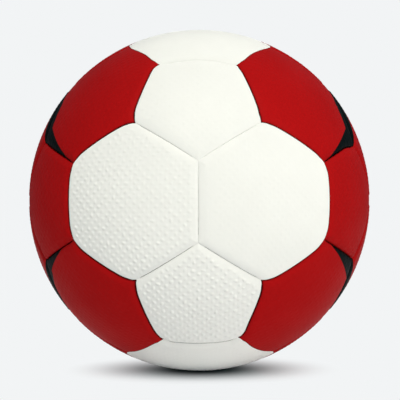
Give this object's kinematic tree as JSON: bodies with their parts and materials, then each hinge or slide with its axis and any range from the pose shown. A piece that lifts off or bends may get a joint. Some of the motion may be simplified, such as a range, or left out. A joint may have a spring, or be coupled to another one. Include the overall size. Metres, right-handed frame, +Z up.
{
  "type": "handball",
  "caption": "Inflated hand-sewn ball of hexagonal and pentagonal synthetic-leather panels over a rubber bladder with a needle valve.",
  "frame": {"origin": "the ball's centre", "axes": "+Z up, +X to the right and -Y to the front as pictured; each axis runs through the middle of a seam between two hexagons"},
  "size_m": [0.1878, 0.1878, 0.1878],
  "materials": {
    "white_leather": "satin",
    "red_leather": "satin",
    "lining_cloth": "matte",
    "thread": "satin",
    "bladder_rubber": "matte",
    "valve_rubber": "satin",
    "plug_rubber": "satin"
  },
  "bodies": {
    "root": {"hex_front_left": "white_leather", "hex_front_right": "white_leather", "hex_back_left": "white_leather", "hex_back_right": "white_leather", "hex_top_front": "white_leather", "hex_top_back": "white_leather", "hex_bottom_front": "white_leather", "hex_bottom_back": "white_leather", "hex_left_upper": "red_leather", "hex_left_lower": "red_leather", "hex_right_upper": "red_leather", "hex_right_lower": "red_leather", "hex_left_upper_front": "red_leather", "hex_left_upper_back": "red_leather", "hex_left_lower_front": "red_leather", "hex_left_lower_back": "red_leather", "hex_right_upper_front": "red_leather", "hex_right_upper_back": "red_leather", "hex_right_lower_front": "red_leather", "hex_right_lower_back": "red_leather", "pent_front_upper": "white_leather", "pent_front_lower": "white_leather", "pent_back_upper": "white_leather", "pent_back_lower": "white_leather", "pent_top_left": "red_leather", "pent_top_right": "red_leather", "pent_bottom_left": "red_leather", "pent_bottom_right": "red_leather", "pent_left_front": "red_leather", "pent_left_back": "red_leather", "pent_right_front": "red_leather", "pent_right_back": "red_leather", "hexagon_linings": "lining_cloth", "pentagon_linings": "lining_cloth", "seam_thread": "thread", "bladder": "bladder_rubber", "valve_housing": "valve_rubber", "valve_core": "plug_rubber"}
  },
  "joints": []
}
